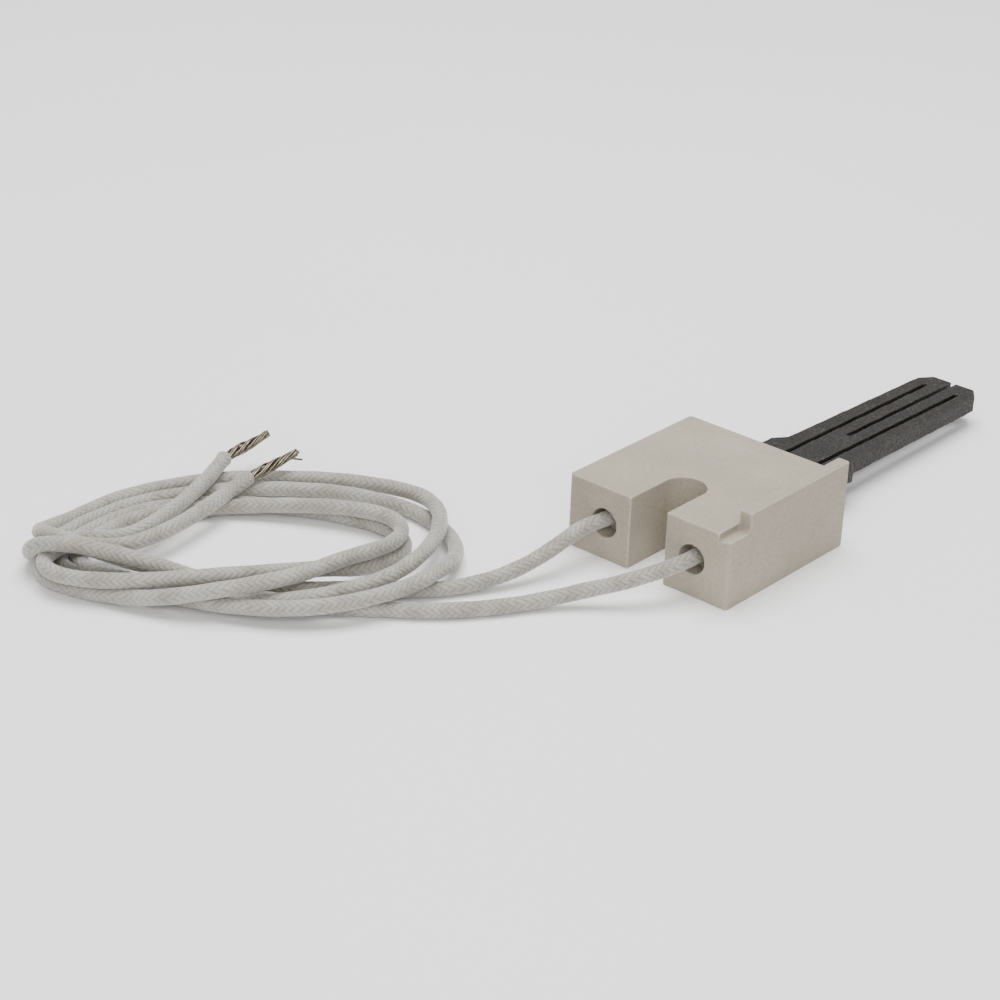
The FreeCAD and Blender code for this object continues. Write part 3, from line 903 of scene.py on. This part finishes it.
def strands_mesh(name, line, stray):
    """One bundle: a core, a round of strands about it and another outside, each a closed tube."""
    points, length = even_points(line, STRAND_RING * MM)
    frames = carried_frames(points)
    mesh = bpy.data.meshes.new(name)
    build = bmesh.new()
    for index, (reach, start, short) in enumerate(strand_layout()):
        centres = []
        for i in range(len(points) - short):
            share = i / (len(points) - 1)
            along = length / MM * share
            open_up = BUNDLE_TIGHT + BUNDLE_OPEN * math.sin(math.pi * min(share * 1.1, 1.0)) ** 2
            wander = STRAND_WANDER * math.sin(along * 1.3 + index * 1.7) if reach else 0.0
            turn = start - 2 * math.pi * along / STRAND_LAY
            centre = around_point(points[i], frames[i], turn, reach * open_up + wander)
            if stray and index == STRAY_STRAND and share > STRAY_START:
                centre += STRAY_BEND * MM * (share - STRAY_START) / (1 - STRAY_START)
            centres.append(centre)
        rings = []
        for centre, cross in zip(centres, carried_frames(centres)):
            ring = []
            for j in range(STRAND_SIDES):
                turn = 2 * math.pi * j / STRAND_SIDES
                ring.append(build.verts.new(around_point(centre, cross, turn, STRAND_RADIUS)))
            rings.append(ring)
        for here, there in zip(rings, rings[1:]):
            for j in range(STRAND_SIDES):
                k = (j + 1) % STRAND_SIDES
                build.faces.new((here[j], here[k], there[k], there[j]))
        build.faces.new(list(reversed(rings[0])))
        build.faces.new(rings[-1])
    bmesh.ops.recalc_face_normals(build, faces=build.faces)
    build.to_mesh(mesh)
    build.free()
    return mesh


for side_name, sleeve, line, tail, tip, stray, leaves_at, span in (
    (
        "left", left_sleeve, left_line, LEFT_TAIL, LEFT_TIP, False,
        (-0.0101, -0.0094, 0.00645), 0.469,
    ),
    (
        "right", right_sleeve, right_line, RIGHT_TAIL, RIGHT_TIP, True,
        (0.0089, -0.0094, 0.0065), 0.486,
    ),
):
    root_point = Vector(tail[-1]).lerp(Vector(tail[-2]), 0.25)
    tip_line = route_line(f"{side_name}_tip_route", [root_point, tail[-1], *tip])
    strands_name = f"{side_name}_strands"
    strands = new_piece(strands_name, strands_mesh(strands_name, tip_line, stray), tinned_wire)
    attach(strands, "root")
    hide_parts(f"{side_name}_bare_end")


# ------------------------------------------------------------------ table
# A plain white table top: laminate, matt, with a faint unevenness of tone.
TABLE_SIZE = 3000.0
TABLE_TONE_WIDTH = 170.0


def table_material():
    """Matt white laminate with a faint unevenness of tone."""
    material = new_material("matt_white_laminate")
    place = add_node(material, "ShaderNodeTexCoord")
    cloud = add_node(
        material,
        "ShaderNodeTexNoise",
        {"Scale": per_metre(TABLE_TONE_WIDTH)},
        {"Vector": (place, "Object")},
    )
    tone = add_node(
        material,
        "ShaderNodeValToRGB",
        {"stops": [(0.3, "#F6F6F6"), (0.7, "#FAFAFA")]},
        {"Fac": (cloud, "Fac")},
    )
    shader = add_node(
        material,
        "ShaderNodeBsdfPrincipled",
        {"Roughness": 0.6},
        {"Base Color": (tone, "Color")},
    )
    add_node(material, "ShaderNodeOutputMaterial", links={"Surface": (shader, "BSDF")})
    return material


table_mesh = bpy.data.meshes.new("table")
half = TABLE_SIZE / 2 * MM
table_mesh.from_pydata(
    [(-half, -half, 0), (half, -half, 0), (half, half, 0), (-half, half, 0)], [], [(0, 1, 2, 3)]
)
table = new_piece("table", table_mesh, table_material())


# ------------------------------------------------------------------ light
# Broad, soft studio light: a white room, one softbox overhead and a weaker one in front.
ROOM_STRENGTH = 0.62

world = bpy.data.worlds.new("studio")
bpy.context.scene.world = world
world.use_nodes = True
world.node_tree.nodes["Background"].inputs["Color"].default_value = linear("#FFFFFF")
world.node_tree.nodes["Background"].inputs["Strength"].default_value = ROOM_STRENGTH

for name, place, aim_at, size, power in (
    ("overhead_softbox", (-0.10, 0.10, 0.75), (0.0, 0.0, 0.0), 0.6, 9.5),
    ("front_softbox", (0.45, -0.55, 0.45), (-0.02, -0.02, 0.0), 0.5, 4.0),
):
    lamp = bpy.data.lights.new(name, "AREA")
    lamp.size = size
    lamp.energy = power
    softbox = bpy.data.objects.new(name, lamp)
    softbox.location = place
    softbox.rotation_euler = (Vector(aim_at) - Vector(place)).to_track_quat("-Z", "Y").to_euler()
    bpy.context.scene.collection.objects.link(softbox)


# ------------------------------------------------------------------ camera
# A long lens a little above the table, looking along the leads towards the element, with the
# slight roll of a hand-held picture.
CAMERA_PLACE = Vector((223.27, -307.87, 198.81)) * MM
CAMERA_AZIMUTH = math.radians(40.48)
CAMERA_HEIGHT = math.radians(26.55)
CAMERA_ROLL = math.radians(2.12)
CAMERA_LENS = 93.3

camera_data = bpy.data.cameras.new("camera")
camera_data.lens = CAMERA_LENS
camera_data.sensor_width = 36.0
camera_data.clip_start = 0.01
camera = bpy.data.objects.new("camera", camera_data)
aim = Matrix.Rotation(CAMERA_AZIMUTH, 4, "Z") @ Matrix.Rotation(math.pi / 2 - CAMERA_HEIGHT, 4, "X")
camera.matrix_world = Matrix.Translation(CAMERA_PLACE) @ aim @ Matrix.Rotation(CAMERA_ROLL, 4, "Z")
bpy.context.scene.collection.objects.link(camera)
bpy.context.scene.camera = camera
